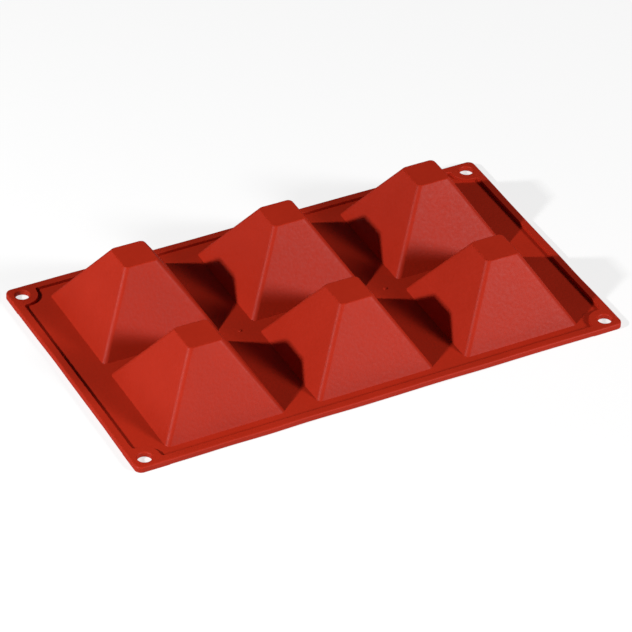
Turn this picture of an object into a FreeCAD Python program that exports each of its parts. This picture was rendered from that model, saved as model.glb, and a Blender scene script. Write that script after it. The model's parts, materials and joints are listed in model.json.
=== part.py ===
import FreeCAD, Part
import os
import Sketcher
from FreeCAD import Placement, Rotation, Vector

# Resin casting mould, one flexible silicone moulding with six truncated pyramid cups in three columns of
# two. It is modelled as it lies upside down: pour face on z = 0, cup floors up, origin under the middle of
# the sheet, +X along the long side, +Z up. Every piece is one zone of the moulding, and it meets its
# neighbours face to face. Between the columns, flex strips let the outer columns fold.

SIZES = {
    "cup_foot": 71.4,             # outer side of a cup where it leaves the web
    "cup_top": 20.4,              # outer side of a cup's flat floor
    "cup_height": 42.2,           # pour face to the outside of the cup floors
    "cup_flange": 0.8,            # flat edge round a cup's foot, level with the web
    "cup_wall": 1.5,              # square to the slanted face
    "cup_floor": 2.0,
    "edge_rounding": 2.5,         # the four slanted edges of a cup
    "top_rounding": 1.0,          # round the flat floor of a cup
    "cavity_rounding": 1.0,       # inside corners of a cup
    "column_gap": 20.1,           # between cup feet along X
    "row_gap": 8.6,               # between cup feet along Y
    "end_margin": 22.8,           # cup foot to the sheet's end
    "side_margin": 11.8,          # cup foot to the sheet's long side
    "web_thickness": 1.5,
    "rim_width": 5.0,
    "rim_height": 3.5,
    "sheet_rounding": 4.0,        # plan radius of the sheet's corners
    "eyelet_inset": 7.8,          # eyelet centre from both edges of the sheet
    "eyelet_diameter": 8.0,
    "lug_radius": 9.0,            # raised round each eyelet
    "foot_ledge": 1.8,            # cup foot to the flex strip, more than the flange
    "gate_diameter": 2.2,         # injection gate's mark on the flex strip
    "gate_height": 0.4,           # above the web
}

doc = FreeCAD.newDocument("resin_mould")
sheet = doc.addObject("Spreadsheet::Sheet", "Sizes")
for row, (alias, size) in enumerate(SIZES.items(), start=1):
    sheet.set(f"A{row}", alias)
    sheet.set(f"B{row}", str(size))
    sheet.setAlias(f"B{row}", alias)
doc.recompute()

# Sizes that follow from the sheet's own, as expressions.
FLANGE_SIDE = "(Sizes.cup_foot + 2 * Sizes.cup_flange)"
HALF_LENGTH = "(1.5 * Sizes.cup_foot + Sizes.column_gap + Sizes.end_margin)"
HALF_DEPTH = "(Sizes.cup_foot + Sizes.row_gap / 2 + Sizes.side_margin)"
COLUMN_PITCH = "(Sizes.cup_foot + Sizes.column_gap)"
ROW_PITCH = "(Sizes.cup_foot + Sizes.row_gap)"
FLEX_WIDTH = "(Sizes.column_gap - 2 * Sizes.foot_ledge)"
COLUMN_WIDTH = f"({COLUMN_PITCH} - {FLEX_WIDTH})"             # centre column, between its flex strips
CORNER_SIZE = "(Sizes.eyelet_inset + Sizes.lug_radius)"       # square block that holds an eyelet
WEB_DEPTH = f"(2 * {HALF_DEPTH} - 2 * Sizes.rim_width)"
SLOPE = "((Sizes.cup_foot - Sizes.cup_top) / 2 / (Sizes.cup_height - Sizes.web_thickness))"
WALL_RUN = f"(Sizes.cup_wall * sqrt(1 + {SLOPE} ^ 2))"        # wall measured level
MOUTH = f"(Sizes.cup_foot + 2 * {SLOPE} * Sizes.web_thickness - 2 * {WALL_RUN})"
CAVITY_HEIGHT = "(Sizes.cup_height - Sizes.cup_floor)"
CAVITY_TOP = f"({MOUTH} - 2 * {SLOPE} * {CAVITY_HEIGHT})"

COLUMNS = {"left": -1, "centre": 0, "right": 1}
ROWS = {"front": -1, "back": 1}
pieces = []


def new_body(label, x="0", y="0"):
    """A body for one zone of the moulding, its own origin standing on the pour face."""
    body = doc.addObject("PartDesign::Body", label)
    body.Label = label
    body.setExpression("Placement.Base.x", x)
    body.setExpression("Placement.Base.y", y)
    pieces.append(body)
    return body


def level_plane(body):
    """The body's own XY plane."""
    return [plane for plane in body.Origin.OriginFeatures if plane.Role == "XY_Plane"][0]


def level_sketch(body, name, at):
    """An empty sketch on the body's XY plane, moved by three expressions."""
    sketch = body.newObject("Sketcher::SketchObject", name)
    sketch.AttachmentSupport = (level_plane(body), "")
    sketch.MapMode = "FlatFace"
    for axis, offset in zip("xyz", at):
        sketch.setExpression(f"AttachmentOffset.Base.{axis}", offset)
    return sketch


def rectangle(body, name, width, depth, at=("0", "0", "0")):
    """A rectangle of this width (X) and depth (Y), centred on its sketch's origin."""
    sketch = level_sketch(body, name, at)
    corners = [Vector(-1, -1), Vector(1, -1), Vector(1, 1), Vector(-1, 1)]
    for start, end in zip(corners, corners[1:] + corners[:1]):
        sketch.addGeometry(Part.LineSegment(start, end))
    for line in range(4):
        sketch.addConstraint(Sketcher.Constraint("Coincident", line, 2, (line + 1) % 4, 1))
        direction = "Vertical" if line % 2 else "Horizontal"
        sketch.addConstraint(Sketcher.Constraint(direction, line))
    sketch.addConstraint(Sketcher.Constraint("Symmetric", 0, 1, 2, 1, -1, 1))
    across = sketch.addConstraint(Sketcher.Constraint("DistanceX", 0, 1, 0, 2, 2.0))
    along = sketch.addConstraint(Sketcher.Constraint("DistanceY", 1, 1, 1, 2, 2.0))
    sketch.setExpression(f"Constraints[{across}]", width)
    sketch.setExpression(f"Constraints[{along}]", depth)
    return sketch


def circle(body, name, radius, at=("0", "0", "0")):
    """A circle centred on its sketch's origin."""
    sketch = level_sketch(body, name, at)
    sketch.addGeometry(Part.Circle(Vector(0, 0, 0), Vector(0, 0, 1), 1.0))
    sketch.addConstraint(Sketcher.Constraint("Coincident", 0, 3, -1, 1))
    size = sketch.addConstraint(Sketcher.Constraint("Radius", 0, 1.0))
    sketch.setExpression(f"Constraints[{size}]", radius)
    return sketch


def pad(body, sketch, height):
    """Raise a sketch by an expression."""
    feature = body.newObject("PartDesign::Pad", f"{sketch.Name}_pad")
    feature.Profile = sketch
    feature.setExpression("Length", height)


def pocket_up(body, sketch, height):
    """Cut a sketch upwards, checking that material went."""
    doc.recompute()
    volume = body.Shape.Volume
    feature = body.newObject("PartDesign::Pocket", f"{sketch.Name}_pocket")
    feature.Profile = sketch
    feature.Reversed = True
    feature.setExpression("Length", height)
    doc.recompute()
    if body.Shape.Volume >= volume:
        raise RuntimeError(f"{feature.Name} cuts nothing")


def pyramid(body, kind, name, foot_side, top_side, low, high):
    """A truncated square pyramid between two heights, added or cut."""
    wedge = body.newObject(f"PartDesign::{kind}", name)
    wedge.AttachmentSupport = (level_plane(body), "")
    wedge.MapMode = "FlatFace"
    wedge.AttachmentOffset = Placement(Vector(0, 0, 0), Rotation(Vector(1, 0, 0), 90))
    wedge.setExpression("Ymin", low)
    wedge.setExpression("Ymax", high)
    for axis in "XZ":
        wedge.setExpression(f"{axis}min", f"-{foot_side} / 2")
        wedge.setExpression(f"{axis}max", f"{foot_side} / 2")
        wedge.setExpression(f"{axis}2min", f"-{top_side} / 2")
        wedge.setExpression(f"{axis}2max", f"{top_side} / 2")
    doc.recompute()


def round_edges(body, name, radius, wanted):
    """Fillet the edges of the body's tip that the test picks."""
    tip = body.Tip
    edges = [f"Edge{n}" for n, edge in enumerate(tip.Shape.Edges, start=1) if wanted(edge)]
    fillet = body.newObject("PartDesign::Fillet", name)
    fillet.Base = (tip, edges)
    fillet.setExpression("Radius", radius)
    doc.recompute()


def slanted(low, high):
    """A test for edges that climb from one height to the other."""
    def wanted(edge):
        box = edge.BoundBox
        leans = box.XLength > 1 and box.YLength > 1
        return leans and abs(box.ZMin - low) < 0.01 and abs(box.ZMax - high) < 0.01
    return wanted


def level_at(height):
    """A test for edges that lie flat at one height."""
    def wanted(edge):
        box = edge.BoundBox
        return abs(box.ZMin - height) < 0.01 and abs(box.ZMax - height) < 0.01
    return wanted


def upright_at(x, y):
    """A test for the upright edge that stands at one point, in the body's own frame."""
    def wanted(edge):
        box = edge.BoundBox
        across = box.XLength + box.YLength
        return across < 0.01 and abs(box.Center.x - x) < 0.01 and abs(box.Center.y - y) < 0.01
    return wanted


# Cups: a square flange in the web's thickness, a truncated pyramid above it, and the cavity that resin
# is poured into.
cavity_height = sheet.cup_height - sheet.cup_floor
for column, column_step in COLUMNS.items():
    for row_name, row_step in ROWS.items():
        label = f"cup_{column}_{row_name}"
        cup = new_body(label, f"{column_step} * {COLUMN_PITCH}", f"{row_step} * {ROW_PITCH} / 2")
        pad(cup, rectangle(cup, f"{label}_flange", FLANGE_SIDE, FLANGE_SIDE), "Sizes.web_thickness")
        pyramid(cup, "AdditiveWedge", f"{label}_pyramid", "Sizes.cup_foot", "Sizes.cup_top",
                "Sizes.web_thickness", "Sizes.cup_height")
        round_edges(cup, f"{label}_edges", "Sizes.edge_rounding",
                    slanted(sheet.web_thickness, sheet.cup_height))
        round_edges(cup, f"{label}_rim", "Sizes.top_rounding", level_at(sheet.cup_height))
        pyramid(cup, "SubtractiveWedge", f"{label}_cavity", MOUTH, CAVITY_TOP, "0", CAVITY_HEIGHT)
        round_edges(cup, f"{label}_inner_edges", "Sizes.cavity_rounding", slanted(0, cavity_height))
        round_edges(cup, f"{label}_inner_rim", "Sizes.cavity_rounding", level_at(cavity_height))

# Web: the thin sheet inside the rim. The centre column's runs between the flex strips, and a side
# column's runs out to the end rim, where its corners are cut back round the eyelet lugs.
SIDE_WEB = f"({HALF_LENGTH} - Sizes.rim_width - {COLUMN_PITCH} / 2 - {FLEX_WIDTH} / 2)"
SIDE_WEB_CENTRE = f"({COLUMN_PITCH} / 2 + {FLEX_WIDTH} / 2 + {SIDE_WEB} / 2)"
notch_x = sheet.evalExpression(f"{HALF_LENGTH} - {CORNER_SIZE}")
notch_y = sheet.evalExpression(f"{HALF_DEPTH} - {CORNER_SIZE}")
for column, column_step in COLUMNS.items():
    web = new_body(f"web_{column}")
    width = SIDE_WEB if column_step else COLUMN_WIDTH
    sheet_zone = rectangle(web, f"web_{column}_sheet", width, WEB_DEPTH,
                           (f"{column_step} * {SIDE_WEB_CENTRE}", "0", "0"))
    pad(web, sheet_zone, "Sizes.web_thickness")
    for row_name, row_step in ROWS.items():
        window = rectangle(web, f"web_{column}_window_{row_name}", FLANGE_SIDE, FLANGE_SIDE,
                           (f"{column_step} * {COLUMN_PITCH}", f"{row_step} * {ROW_PITCH} / 2", "0"))
        pocket_up(web, window, "Sizes.web_thickness")
        if column_step:
            notch = rectangle(web, f"web_{column}_notch_{row_name}", CORNER_SIZE, CORNER_SIZE,
                              (f"{column_step} * ({HALF_LENGTH} - {CORNER_SIZE} / 2)",
                               f"{row_step} * ({HALF_DEPTH} - {CORNER_SIZE} / 2)", "0"))
            pocket_up(web, notch, "Sizes.web_thickness")
            round_edges(web, f"web_{column}_lug_{row_name}", "Sizes.lug_radius",
                        upright_at(column_step * notch_x, row_step * notch_y))

# Rim: a thicker band round the sheet, cut at the flex strips and at the corner blocks.
RIM_Y = f"({HALF_DEPTH} - Sizes.rim_width / 2)"
SIDE_RIM = f"({HALF_LENGTH} - {CORNER_SIZE} - {COLUMN_PITCH} / 2 - {FLEX_WIDTH} / 2)"
SIDE_RIM_CENTRE = f"({COLUMN_PITCH} / 2 + {FLEX_WIDTH} / 2 + {SIDE_RIM} / 2)"
for row_name, row_step in ROWS.items():
    for column, column_step in COLUMNS.items():
        label = f"rim_{row_name}_{column}"
        rim = new_body(label, f"{column_step} * {SIDE_RIM_CENTRE}", f"{row_step} * {RIM_Y}")
        band = rectangle(rim, f"{label}_band", SIDE_RIM if column_step else COLUMN_WIDTH, "Sizes.rim_width")
        pad(rim, band, "Sizes.rim_height")
for end, end_step in (("left", -1), ("right", 1)):
    rim = new_body(f"rim_end_{end}", f"{end_step} * ({HALF_LENGTH} - Sizes.rim_width / 2)")
    band = rectangle(rim, f"rim_end_{end}_band", "Sizes.rim_width", f"2 * ({HALF_DEPTH} - {CORNER_SIZE})")
    pad(rim, band, "Sizes.rim_height")

# Flex strips: the stretch of web and of both rims between two columns, where the sheet bends when a
# column is folded. The web's strip carries the mark of the injection gate.
FLEX_X = f"({COLUMN_PITCH} / 2)"
for side, side_step in (("left", -1), ("right", 1)):
    strip = new_body(f"flex_web_{side}", f"{side_step} * {FLEX_X}")
    pad(strip, rectangle(strip, f"flex_web_{side}_strip", FLEX_WIDTH, WEB_DEPTH), "Sizes.web_thickness")
    gate = circle(strip, f"flex_web_{side}_gate", "Sizes.gate_diameter / 2")
    pad(strip, gate, "Sizes.web_thickness + Sizes.gate_height")
    for row_name, row_step in ROWS.items():
        label = f"flex_rim_{row_name}_{side}"
        strip = new_body(label, f"{side_step} * {FLEX_X}", f"{row_step} * {RIM_Y}")
        pad(strip, rectangle(strip, f"{label}_band", FLEX_WIDTH, "Sizes.rim_width"), "Sizes.rim_height")

# Corner eyelets: square blocks of the rim's height that close the rim's corners. The sheet's plan radius
# rounds the outer corner, and the lug's radius, about the eyelet's axis, rounds the inner one.
half_block = sheet.evalExpression(f"{CORNER_SIZE} / 2")
TO_EYELET = f"({CORNER_SIZE} / 2 - Sizes.eyelet_inset)"
for end, end_step in (("left", -1), ("right", 1)):
    for row_name, row_step in ROWS.items():
        label = f"eyelet_{end}_{row_name}"
        corner = new_body(label, f"{end_step} * ({HALF_LENGTH} - {CORNER_SIZE} / 2)",
                          f"{row_step} * ({HALF_DEPTH} - {CORNER_SIZE} / 2)")
        pad(corner, rectangle(corner, f"{label}_block", CORNER_SIZE, CORNER_SIZE), "Sizes.rim_height")
        doc.recompute()
        round_edges(corner, f"{label}_outer", "Sizes.sheet_rounding",
                    upright_at(end_step * half_block, row_step * half_block))
        round_edges(corner, f"{label}_lug", "Sizes.lug_radius",
                    upright_at(-end_step * half_block, -row_step * half_block))
        hole = circle(corner, f"{label}_hole", "Sizes.eyelet_diameter / 2",
                      (f"{end_step} * {TO_EYELET}", f"{row_step} * {TO_EYELET}", "0"))
        pocket_up(corner, hole, "Sizes.rim_height")

doc.recompute()

for item in doc.Objects:
    if {"Invalid", "Error"} & set(item.State):
        raise RuntimeError(f"{item.Name}: {item.State}")
os.makedirs("parts", exist_ok=True)
for piece in pieces:
    shape = piece.Shape
    if shape.isNull() or not shape.isValid() or len(shape.Solids) != 1:
        raise RuntimeError(f"{piece.Label} is not one sound solid")
    shape.exportStep(f"parts/{piece.Label}.step")
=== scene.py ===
import json
import math

import bmesh
import bpy
from mathutils import Matrix, Vector, noise


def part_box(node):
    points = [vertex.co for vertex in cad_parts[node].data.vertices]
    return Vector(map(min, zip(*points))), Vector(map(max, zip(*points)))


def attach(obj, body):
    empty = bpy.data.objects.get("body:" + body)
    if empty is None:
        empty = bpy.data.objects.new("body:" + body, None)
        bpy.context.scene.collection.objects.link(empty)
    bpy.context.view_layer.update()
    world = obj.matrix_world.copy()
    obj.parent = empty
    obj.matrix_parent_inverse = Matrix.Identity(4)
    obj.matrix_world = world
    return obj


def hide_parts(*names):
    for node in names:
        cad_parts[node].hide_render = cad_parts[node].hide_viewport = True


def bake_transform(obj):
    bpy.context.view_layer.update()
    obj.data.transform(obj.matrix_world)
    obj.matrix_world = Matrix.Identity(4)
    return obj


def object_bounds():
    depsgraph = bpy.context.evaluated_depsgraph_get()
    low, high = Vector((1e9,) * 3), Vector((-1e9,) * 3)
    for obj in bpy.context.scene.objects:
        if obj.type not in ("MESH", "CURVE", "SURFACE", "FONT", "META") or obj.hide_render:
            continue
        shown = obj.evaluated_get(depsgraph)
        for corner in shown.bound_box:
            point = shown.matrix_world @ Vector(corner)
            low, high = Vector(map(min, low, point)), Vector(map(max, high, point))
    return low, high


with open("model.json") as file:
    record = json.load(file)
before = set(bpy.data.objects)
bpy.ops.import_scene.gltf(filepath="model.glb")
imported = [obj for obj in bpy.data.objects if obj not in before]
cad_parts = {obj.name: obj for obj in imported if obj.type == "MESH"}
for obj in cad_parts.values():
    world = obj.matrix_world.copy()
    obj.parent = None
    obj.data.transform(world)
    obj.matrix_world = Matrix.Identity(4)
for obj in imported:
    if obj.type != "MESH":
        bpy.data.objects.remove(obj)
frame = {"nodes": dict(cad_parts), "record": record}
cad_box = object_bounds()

# ---------------------------------------------------------------------------------------------------------
# Cups. Six hollow truncated pyramids, part of one compression moulding in red silicone rubber. Outside they
# have a fine spark-eroded grain. Inside, where the resin is poured, they are polished. Each stands on a
# narrow flat flange that runs level into the sheet.

MM = 0.001
TOUCHING = 0.01 * MM             # places closer than this are the same
WELD = 0.001 * MM
WEB_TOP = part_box("web_centre")[1][2]
CUP_FLANGE = 0.8 * MM
CUP_TOP_SIDE = 20.4 * MM
CUP_WALL_RUN = 1.77 * MM         # wall measured level
CUP_FLOOR = 2.0 * MM
CUP_EDGE_RADIUS = 3.3 * MM       # slanted edges, outside
CUP_TOP_RADIUS = 1.0 * MM
CAVITY_RADIUS = 1.0 * MM
CUP_SAG = 0.25 * MM              # how far the soft walls stray from flat
SAG_WAVE = 28 * MM               # and over what length
WALL_CUTS = 13
FACE_CUTS = 9
CREASE = math.radians(35)        # sharper turns than this stay crisp

DEEP_RED = (0.35, 0.0175, 0.0060, 1.0)
BRIGHT_RED = (0.40, 0.0205, 0.0072, 1.0)
CLOUDS_PER_METRE = 38.0
GRAINS_PER_METRE = 560.0
SWELLS_PER_METRE = 26.0
SWELL_DEPTH = 0.35 * MM
CLOUD_TONE, GRAIN_TONE = 1.4, 0.5
CLOUD_GLOSS, GRAIN_GLOSS = 0.10, 0.18
SILICONE_IOR = 1.41
SILICONE_SPECULAR = 0.15


class Wire:
    """One output socket of a material's nodes, which can be used in sums."""

    def __init__(self, finish, socket):
        self.finish = finish
        self.socket = socket

    def maths(self, operation, first, second):
        return self.finish.add("ShaderNodeMath", {"operation": operation}, {0: first, 1: second})

    def __add__(self, other):
        return self.maths("ADD", self, other)

    def __sub__(self, other):
        return self.maths("SUBTRACT", self, other)

    def __rsub__(self, other):
        return self.maths("SUBTRACT", other, self)

    def __mul__(self, other):
        return self.maths("MULTIPLY", self, other)

    __radd__ = __add__
    __rmul__ = __mul__


class Finish:
    """A material, built one node at a time."""

    def __init__(self, name):
        self.material = bpy.data.materials.new(name)
        self.material.use_nodes = True
        self.tree = self.material.node_tree
        self.tree.nodes.clear()

    def add(self, kind, settings, sockets, output=0):
        """Adds a node, with its settings made first, and gives one of its outputs."""
        node = self.tree.nodes.new(kind)
        for name, value in settings.items():
            setattr(node, name, value)
        for name, value in sockets.items():
            if isinstance(value, Wire):
                self.tree.links.new(value.socket, node.inputs[name])
            else:
                node.inputs[name].default_value = value
        return Wire(self, node.outputs[output]) if node.outputs else None


def silicone(name, roughness, grain_depth):
    """Solid-dyed silicone: faintly clouded red, slow undulations, and a fine grain of this depth."""
    finish = Finish(name)
    place = finish.add("ShaderNodeTexCoord", {}, {}, "Object")
    cloud = finish.add("ShaderNodeTexNoise", {}, {"Vector": place, "Scale": CLOUDS_PER_METRE, "Detail": 3.0})
    grain = finish.add("ShaderNodeTexNoise", {}, {"Vector": place, "Scale": GRAINS_PER_METRE, "Detail": 0.5})
    swell = finish.add("ShaderNodeTexNoise", {}, {"Vector": place, "Scale": SWELLS_PER_METRE, "Detail": 0.0})
    tone = 0.5 + CLOUD_TONE * (cloud - 0.5) + GRAIN_TONE * (grain - 0.5)
    red = finish.add("ShaderNodeMix", {"data_type": "RGBA"}, {0: tone, 6: DEEP_RED, 7: BRIGHT_RED}, 2)
    gloss = roughness + CLOUD_GLOSS * (cloud - 0.5) + GRAIN_GLOSS * (grain - 0.5)
    relief = swell * SWELL_DEPTH + grain * grain_depth
    normal = finish.add("ShaderNodeBump", {}, {"Strength": 1.0, "Distance": 1.0, "Height": relief})
    shader = finish.add("ShaderNodeBsdfPrincipled", {}, {
        "Base Color": red, "Roughness": gloss, "Normal": normal,
        "IOR": SILICONE_IOR, "Specular IOR Level": SILICONE_SPECULAR,
    })
    finish.add("ShaderNodeOutputMaterial", {}, {"Surface": shader})
    return finish.material


GRAINED = silicone("grained_silicone", roughness=0.48, grain_depth=0.075 * MM)
POLISHED = silicone("polished_silicone", roughness=0.30, grain_depth=0.004 * MM)
BLENDED = silicone("blended_silicone", roughness=0.52, grain_depth=0.008 * MM)
SKINS = [GRAINED, POLISHED, BLENDED]

body_of = {node: body for body, nodes in frame["record"]["behaviour"]["bodies"].items() for node in nodes}


def wander_at(place):
    """A smooth wander in three directions, which is always the same at the same place."""
    return Vector([noise.noise(place + Vector((shift, shift, shift))) for shift in (0.0, 17.3, 41.9)])


def near(value, target):
    return abs(value - target) < TOUCHING


def edges_between(bm, low, high):
    """Edges with one end at each of two heights."""
    found = []
    for edge in bm.edges:
        heights = sorted(vert.co.z for vert in edge.verts)
        if near(heights[0], low) and near(heights[1], high):
            found.append(edge)
    return found


def round_edges(bm, edges, radius, segments):
    """Rolls a radius along edges that all turn through about the same angle."""
    turn = max(edges, key=lambda edge: edge.calc_length()).calc_face_angle()
    bmesh.ops.bevel(bm, geom=edges, offset=radius * math.tan(turn / 2), offset_type="OFFSET",
                    segments=segments, profile=0.5, affect="EDGES", material=-1)


def moulded_piece(bm, node):
    """Makes a finished mesh the visible skin of a node, grained on top and polished on the pour side."""
    bmesh.ops.remove_doubles(bm, verts=bm.verts, dist=WELD)
    bmesh.ops.recalc_face_normals(bm, faces=bm.faces)
    for face in bm.faces:
        face.smooth = True
        if face.normal.z < -0.1:
            face.material_index = SKINS.index(POLISHED)
    mesh = bpy.data.meshes.new(f"{node}_silicone")
    bm.to_mesh(mesh)
    bm.free()
    for skin in SKINS:
        mesh.materials.append(skin)
    mesh.set_sharp_from_angle(angle=CREASE)
    piece = bpy.data.objects.new(mesh.name, mesh)
    bpy.context.collection.objects.link(piece)
    flats = piece.modifiers.new("flats_stay_flat", "WEIGHTED_NORMAL")
    flats.keep_sharp = True
    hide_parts(node)
    return piece


def cup_loops(side_at_flange, height):
    """The square loops of a cup's section, from its flat top down the outside and up into its cavity."""
    foot = side_at_flange - 2 * CUP_FLANGE
    slope = (foot - CUP_TOP_SIDE) / 2 / (height - WEB_TOP)
    mouth = foot + 2 * slope * WEB_TOP - 2 * CUP_WALL_RUN
    cavity_height = height - CUP_FLOOR
    return [(CUP_TOP_SIDE, height), (foot, WEB_TOP), (side_at_flange, WEB_TOP), (side_at_flange, 0.0),
            (mouth, 0.0), (mouth - 2 * slope * cavity_height, cavity_height)]


def build_cup(node):
    low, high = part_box(node)
    loops = cup_loops(high[0] - low[0], high[2])
    bm = bmesh.new()
    bmesh.ops.create_grid(bm, x_segments=1, y_segments=1, size=CUP_TOP_SIDE / 2)
    bmesh.ops.translate(bm, verts=bm.verts, vec=(0, 0, high[2]))
    rim = bm.edges[:]
    for (last_side, last_height), (side, height) in zip(loops, loops[1:]):
        grown = bmesh.ops.extrude_edge_only(bm, edges=rim)["geom"]
        corners = [item for item in grown if isinstance(item, bmesh.types.BMVert)]
        bmesh.ops.scale(bm, verts=corners, vec=(side / last_side, side / last_side, 1))
        bmesh.ops.translate(bm, verts=corners, vec=(0, 0, height - last_height))
        rim = [item for item in grown if isinstance(item, bmesh.types.BMEdge)
               and set(item.verts) <= set(corners)]
    bmesh.ops.contextual_create(bm, geom=rim)
    bmesh.ops.recalc_face_normals(bm, faces=bm.faces)

    cavity_height = loops[-1][1]
    round_edges(bm, edges_between(bm, WEB_TOP, high[2]), CUP_EDGE_RADIUS, segments=6)
    round_edges(bm, edges_between(bm, 0.0, cavity_height), CAVITY_RADIUS, segments=4)
    round_edges(bm, edges_between(bm, high[2], high[2]), CUP_TOP_RADIUS, segments=4)
    round_edges(bm, edges_between(bm, cavity_height, cavity_height), CAVITY_RADIUS, segments=3)

    tall = [edge for edge in bm.edges if abs(edge.verts[0].co.z - edge.verts[1].co.z) > cavity_height / 2]
    bmesh.ops.subdivide_edges(bm, edges=tall, cuts=WALL_CUTS, use_grid_fill=True)
    wide = [edge for edge in bm.edges if edge.calc_length() > 6 * MM]
    bmesh.ops.subdivide_edges(bm, edges=wide, cuts=FACE_CUTS, use_grid_fill=True)

    # The rolls along the slanted edges face between the two directions that the flat sides face.
    for face in bm.faces:
        if min(abs(face.normal.x), abs(face.normal.y)) > 0.1:
            face.material_index = SKINS.index(BLENDED)
    bmesh.ops.translate(bm, verts=bm.verts, vec=((low[0] + high[0]) / 2, (low[1] + high[1]) / 2, 0))
    for vert in bm.verts:
        climb = max(0.0, vert.co.z - WEB_TOP) / high[2]
        sway = wander_at(vert.co / SAG_WAVE)
        vert.co += CUP_SAG * climb * Vector((sway.x, sway.y, -abs(sway.z)))
    piece = moulded_piece(bm, node)
    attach(piece, body_of[node])


for cup in [node for node in frame["nodes"] if node.startswith("cup_")]:
    build_cup(cup)

# ---------------------------------------------------------------------------------------------------------
# Web. The thin sheet between and round the cups, one panel for each column. Square windows take the cups'
# flanges, and the outer corners are cut back round the eyelet lugs.

LUG_RADIUS = 9.0 * MM
LUG_BLEND = 1.8 * MM             # small radius where a lug's side runs into the rim


def flat_face(bm, points):
    return bm.faces.new([bm.verts.new((x, y, 0)) for x, y in points])


def round_corner(bm, x, y, radius, segments):
    """Rounds the one corner of a flat face that stands at a point."""
    corner = [vert for vert in bm.verts if near(vert.co.x, x) and near(vert.co.y, y)]
    bmesh.ops.bevel(bm, geom=corner, offset=radius, offset_type="OFFSET", segments=segments,
                    profile=0.5, affect="VERTICES", material=-1)


def fill_and_raise(bm, height):
    """Fills the plan between all its outlines and raises it to a plate."""
    for face in bm.faces[:]:
        bm.faces.remove(face)
    bmesh.ops.triangle_fill(bm, use_beauty=True, use_dissolve=False, edges=bm.edges[:])
    raised = bmesh.ops.extrude_face_region(bm, geom=bm.faces[:], use_keep_orig=True)["geom"]
    top = [item for item in raised if isinstance(item, bmesh.types.BMVert)]
    bmesh.ops.translate(bm, verts=top, vec=(0, 0, height))


def build_web(column):
    node = f"web_{column}"
    low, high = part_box(node)
    bm = bmesh.new()
    if column == "centre":
        flat_face(bm, [(low[0], low[1]), (high[0], low[1]), (high[0], high[1]), (low[0], high[1])])
    else:
        side = -1 if column == "left" else 1
        inner_x, outer_x = (high[0], low[0]) if side < 0 else (low[0], high[0])
        lug_low, lug_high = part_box(f"eyelet_{column}_back")
        lug_x = lug_high[0] if side < 0 else lug_low[0]
        lug_y = lug_low[1]
        flat_face(bm, [(inner_x, -high[1]), (lug_x, -high[1]), (lug_x, -lug_y), (outer_x, -lug_y),
                       (outer_x, lug_y), (lug_x, lug_y), (lug_x, high[1]), (inner_x, high[1])])
        for row_side in (-1, 1):
            round_corner(bm, lug_x, row_side * lug_y, LUG_RADIUS, segments=16)
            round_corner(bm, lug_x, row_side * high[1], LUG_BLEND, segments=6)
            round_corner(bm, outer_x, row_side * lug_y, LUG_BLEND, segments=6)
    for row in ("front", "back"):
        cup_low, cup_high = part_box(f"cup_{column}_{row}")
        flat_face(bm, [(cup_low[0], cup_low[1]), (cup_high[0], cup_low[1]),
                       (cup_high[0], cup_high[1]), (cup_low[0], cup_high[1])])
    fill_and_raise(bm, high[2])
    piece = moulded_piece(bm, node)
    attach(piece, body_of[node])


for column in ("left", "centre", "right"):
    build_web(column)

# ---------------------------------------------------------------------------------------------------------
# Rim. A thicker band round the sheet that keeps its edge from curling. Its top outer edge is well rounded,
# and its line wanders a little, as soft rubber does.

RIM_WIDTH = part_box("rim_front_centre")[1][1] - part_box("rim_front_centre")[0][1]
RIM_OUTER_RADIUS = 1.0 * MM
RIM_INNER_RADIUS = 0.35 * MM
RIM_FOOT_RADIUS = 0.4 * MM
RIM_WANDER = 0.45 * MM
RIM_LIFT = 0.30 * MM
WANDER_WAVE = 34 * MM
LIFT_WAVE = 90 * MM
INWARD_LEAN = 0.6                # the edge strays more inwards than outwards
WANDER_FADE = 25 * MM            # the rim runs true near the corner blocks
BAND_STEP = 3 * MM
RIM_STUB = LUG_BLEND + 0.4 * MM  # each corner block takes in this much of its two rims
band_end = Vector(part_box("eyelet_right_back")[0]) - Vector((RIM_STUB, RIM_STUB, 0))


def let_rim_wander(bm, across):
    """Lets a band's outer edge stray in and out and lift off the bench; its inner edge stays put."""
    along = 1 - across
    outer = cad_box[1][across]
    for vert in bm.verts:
        out = max(0.0, 1 - (outer - abs(vert.co[across])) / RIM_WIDTH)
        calm = min(1.0, max(0.0, (band_end[along] - abs(vert.co[along])) / WANDER_FADE))
        stray = wander_at(Vector((vert.co.x, vert.co.y, 0)) / WANDER_WAVE)
        drift = wander_at(Vector((vert.co.x, vert.co.y, 0)) / LIFT_WAVE)
        side = math.copysign(1.0, vert.co[across])
        vert.co[across] += side * RIM_WANDER * out * calm * (stray.x - INWARD_LEAN)
        vert.co.z += RIM_LIFT * out * calm * abs(drift.z + 0.5 * stray.y)


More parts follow.
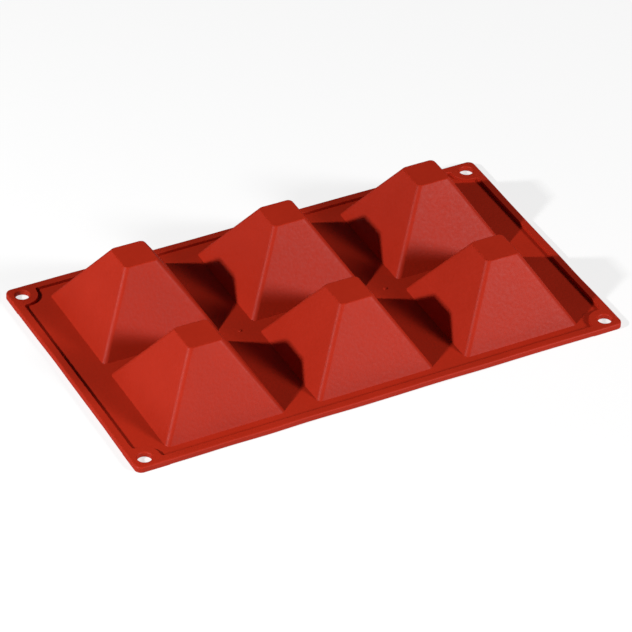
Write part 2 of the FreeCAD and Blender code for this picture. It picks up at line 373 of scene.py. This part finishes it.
def build_band(node, across, step):
    """One straight length of rim, with cross cuts this far apart."""
    low, high = (Vector(corner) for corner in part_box(node))
    along = 1 - across
    low[along] = max(low[along], -band_end[along])
    high[along] = min(high[along], band_end[along])
    middle, size = (low + high) / 2, high - low
    side = math.copysign(1.0, middle[across])
    bm = bmesh.new()
    bmesh.ops.create_cube(bm, size=1.0, matrix=Matrix.Translation(middle) @ Matrix.Diagonal((*size, 1)))
    lengthways = [edge for edge in bm.edges if abs(edge.verts[0].co[along] - edge.verts[1].co[along])
                  > size[along] / 2]

    def run(outward, up):
        return [edge for edge in lengthways
                if (edge.verts[0].co[across] - middle[across]) * side * outward > 0
                and (edge.verts[0].co.z - middle.z) * up > 0]

    top_outer, top_inner, foot_outer = run(1, 1), run(-1, 1), run(1, -1)
    round_edges(bm, top_outer, RIM_OUTER_RADIUS, segments=6)
    round_edges(bm, [edge for edge in top_inner if edge.is_valid], RIM_INNER_RADIUS, segments=4)
    round_edges(bm, [edge for edge in foot_outer if edge.is_valid], RIM_FOOT_RADIUS, segments=3)
    longest = [edge for edge in bm.edges if abs(edge.verts[0].co[along] - edge.verts[1].co[along])
               > size[along] / 2]
    bmesh.ops.subdivide_edges(bm, edges=longest, cuts=round(size[along] / step), use_grid_fill=True)
    let_rim_wander(bm, across)
    return moulded_piece(bm, node)


for node in frame["nodes"]:
    if node.startswith("rim_"):
        band = build_band(node, across=0 if "end" in node else 1, step=BAND_STEP)
        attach(band, body_of[node])

# ---------------------------------------------------------------------------------------------------------
# Corner eyelets. Each corner of the rim widens into a round lug with a hanging hole through it. The rim's
# inner edge runs on round the lug in one smooth line, so a corner block takes in a bit of both its rims.

SHEET_RADIUS = 4.0 * MM
EYELET_RADIUS = 4.0 * MM
EYELET_INSET = 7.8 * MM
EYELET_EDGE = 0.9 * MM
LEVEL = 0.001                    # two faces that turn less than this, in radians, are one flat
TURNED = 0.5                     # and more than this, an edge that can be rounded


def build_eyelet(node):
    low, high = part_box(node)
    x_side = math.copysign(1.0, low[0])
    y_side = math.copysign(1.0, low[1])
    outer_x, inner_x = sorted((low[0], high[0]), key=abs, reverse=True)
    outer_y, inner_y = sorted((low[1], high[1]), key=abs, reverse=True)
    rim_x = outer_x - x_side * RIM_WIDTH
    rim_y = outer_y - y_side * RIM_WIDTH
    end_x = inner_x - x_side * RIM_STUB
    end_y = inner_y - y_side * RIM_STUB
    bm = bmesh.new()
    flat_face(bm, [(end_x, outer_y), (outer_x, outer_y), (outer_x, end_y), (rim_x, end_y), (rim_x, inner_y),
                   (inner_x, inner_y), (inner_x, rim_y), (end_x, rim_y)])
    round_corner(bm, outer_x, outer_y, SHEET_RADIUS, segments=10)
    round_corner(bm, inner_x, inner_y, LUG_RADIUS, segments=16)
    round_corner(bm, inner_x, rim_y, LUG_BLEND, segments=6)
    round_corner(bm, rim_x, inner_y, LUG_BLEND, segments=6)
    eyelet = Vector((outer_x - x_side * EYELET_INSET, outer_y - y_side * EYELET_INSET, 0))
    bmesh.ops.create_circle(bm, cap_ends=False, segments=48, radius=EYELET_RADIUS,
                            matrix=Matrix.Translation(eyelet))
    fill_and_raise(bm, high[2])
    bmesh.ops.recalc_face_normals(bm, faces=bm.faces)
    inside = [edge for edge in bm.edges if edge.calc_face_angle() < LEVEL
              and abs(edge.link_faces[0].normal.z) > 0.9]
    bmesh.ops.dissolve_limit(bm, angle_limit=LEVEL, verts=[], edges=inside)

    def crest(edge):
        return all(near(vert.co.z, high[2]) for vert in edge.verts) and edge.calc_face_angle() > TURNED

    def centre(edge):
        return (edge.verts[0].co + edge.verts[1].co) / 2

    def abuts_rim(edge):
        return near(centre(edge).x, end_x) or near(centre(edge).y, end_y)

    def hole_edge(edge):
        return (centre(edge).xy - eyelet.xy).length < EYELET_RADIUS * 1.05

    def outer_edge(edge):
        return max(abs(centre(edge).x) - abs(rim_x), abs(centre(edge).y) - abs(rim_y)) > 1 * MM

    around = [edge for edge in bm.edges if crest(edge) and not abuts_rim(edge) and not hole_edge(edge)]
    hole = [edge for edge in bm.edges if hole_edge(edge) and near(edge.verts[0].co.z, edge.verts[1].co.z)
            and edge.calc_face_angle() > TURNED]
    round_edges(bm, [edge for edge in around if outer_edge(edge)], RIM_OUTER_RADIUS, segments=6)
    round_edges(bm, [edge for edge in around if edge.is_valid], RIM_INNER_RADIUS, segments=4)
    round_edges(bm, [edge for edge in hole if edge.is_valid], EYELET_EDGE, segments=3)
    piece = moulded_piece(bm, node)
    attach(piece, body_of[node])


for node in frame["nodes"]:
    if node.startswith("eyelet_"):
        build_eyelet(node)

# ---------------------------------------------------------------------------------------------------------
# Flex strips. Between two columns the sheet has no cups to stiffen it, so this is where it bends when an
# outer column is folded. In the middle of each strip is the small raised mark of an injection gate.

GATE_RADIUS = 1.1 * MM
GATE_TOP = 1.9 * MM
GATE_EDGE = 0.3 * MM
STRIP_STEP = 1.2 * MM


def bend_with_fold(piece):
    """Bakes a strip's placement into its mesh, left unbent."""
    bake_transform(piece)


def build_flex_web(side):
    node = f"flex_web_{side}"
    low, high = (Vector(corner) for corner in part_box(node))
    bm = bmesh.new()
    flat_face(bm, [(low.x, low.y), (high.x, low.y), (high.x, high.y), (low.x, high.y)])
    fill_and_raise(bm, WEB_TOP)
    bmesh.ops.dissolve_limit(bm, angle_limit=LEVEL, verts=[], edges=bm.edges[:])
    crosswise = [edge for edge in bm.edges if near(edge.calc_length(), high.x - low.x)]
    bmesh.ops.subdivide_edges(bm, edges=crosswise, cuts=round((high.x - low.x) / STRIP_STEP),
                              use_grid_fill=True)
    gate_middle = Vector(((low.x + high.x) / 2, 0, (GATE_TOP + WEB_TOP / 2) / 2))
    bmesh.ops.create_cone(bm, cap_ends=True, segments=32, radius1=GATE_RADIUS, radius2=GATE_RADIUS,
                          depth=GATE_TOP - WEB_TOP / 2, matrix=Matrix.Translation(gate_middle))
    top_edge = [edge for edge in bm.edges if all(near(vert.co.z, GATE_TOP) for vert in edge.verts)]
    round_edges(bm, top_edge, GATE_EDGE, segments=3)
    bend_with_fold(moulded_piece(bm, node))


for side in ("left", "right"):
    build_flex_web(side)
    for row in ("front", "back"):
        node = f"flex_rim_{row}_{side}"
        bend_with_fold(build_band(node, across=1, step=STRIP_STEP))

# ---------------------------------------------------------------------------------------------------------
# Floor. A plain pale surface, lit from below like a light table. It shows in no reflection, because that
# would wash out the red.

FLOOR_GAP = 0.2 * MM
FLOOR_REACH = 4.0
FLOOR_GREY = 0.30
FLOOR_GLOW = 0.70

bm = bmesh.new()
bmesh.ops.create_grid(bm, x_segments=1, y_segments=1, size=FLOOR_REACH)
bmesh.ops.translate(bm, verts=bm.verts, vec=(0, 0, -FLOOR_GAP))
floor_mesh = bpy.data.meshes.new("floor")
bm.to_mesh(floor_mesh)
bm.free()
paint = Finish("pale_floor")
shader = paint.add("ShaderNodeBsdfPrincipled", {}, {
    "Base Color": (FLOOR_GREY, FLOOR_GREY, FLOOR_GREY, 1.0), "Roughness": 0.9,
    "Emission Color": (1.0, 1.0, 1.0, 1.0), "Emission Strength": FLOOR_GLOW,
})
paint.add("ShaderNodeOutputMaterial", {}, {"Surface": shader})
floor_mesh.materials.append(paint.material)
floor = bpy.data.objects.new("floor", floor_mesh)
bpy.context.collection.objects.link(floor)
floor.visible_glossy = False

# ---------------------------------------------------------------------------------------------------------
# Studio. A small key softbox low on the left, a larger one in front on the right, and a dim even surround.

SURROUND = 0.05

def softbox(name, azimuth, elevation, distance, size, power):
    """A square softbox at an azimuth from +X and an elevation, aimed at the mould."""
    swing = Matrix.Rotation(math.radians(azimuth), 4, "Z")
    tilt = Matrix.Rotation(math.radians(90 - elevation), 4, "Y")
    light = bpy.data.lights.new(name, "AREA")
    light.size = size
    light.energy = power
    lamp = bpy.data.objects.new(name, light)
    lamp.matrix_world = swing @ tilt @ Matrix.Translation((0, 0, distance))
    bpy.context.collection.objects.link(lamp)


softbox("key_softbox", azimuth=184.8, elevation=32.5, distance=1.45, size=0.075, power=20.5)
softbox("front_softbox", azimuth=-50.9, elevation=26.5, distance=2.5, size=0.50, power=53.0)

surround = bpy.data.worlds.new("surround")
surround.use_nodes = True
surround.node_tree.nodes["Background"].inputs["Color"].default_value = (1.0, 1.0, 1.0, 1.0)
surround.node_tree.nodes["Background"].inputs["Strength"].default_value = SURROUND
bpy.context.scene.world = surround
bpy.context.scene.view_settings.view_transform = "Standard"

# ---------------------------------------------------------------------------------------------------------
# Camera. A long lens, from the front left and above.

CAMERA_AZIMUTH = -28.49
CAMERA_ELEVATION = 37.07
CAMERA_ROLL = 1.88
CAMERA_OFFSET = Vector((1.63 * MM, -2.45 * MM, 2.248))
SENSOR_WIDTH = 36.0              # in millimetres, as is the focal length
FOCAL_LENGTH = 228.8
FARTHEST_SEEN = 20.0

lens = bpy.data.cameras.new("camera")
lens.sensor_width = SENSOR_WIDTH
lens.lens = FOCAL_LENGTH
lens.clip_end = FARTHEST_SEEN
camera = bpy.data.objects.new("camera", lens)
camera.matrix_world = (Matrix.Rotation(math.radians(CAMERA_AZIMUTH), 4, "Z")
                       @ Matrix.Rotation(math.radians(90 - CAMERA_ELEVATION), 4, "X")
                       @ Matrix.Rotation(math.radians(CAMERA_ROLL), 4, "Z")
                       @ Matrix.Translation(CAMERA_OFFSET))
bpy.context.collection.objects.link(camera)
bpy.context.scene.camera = camera
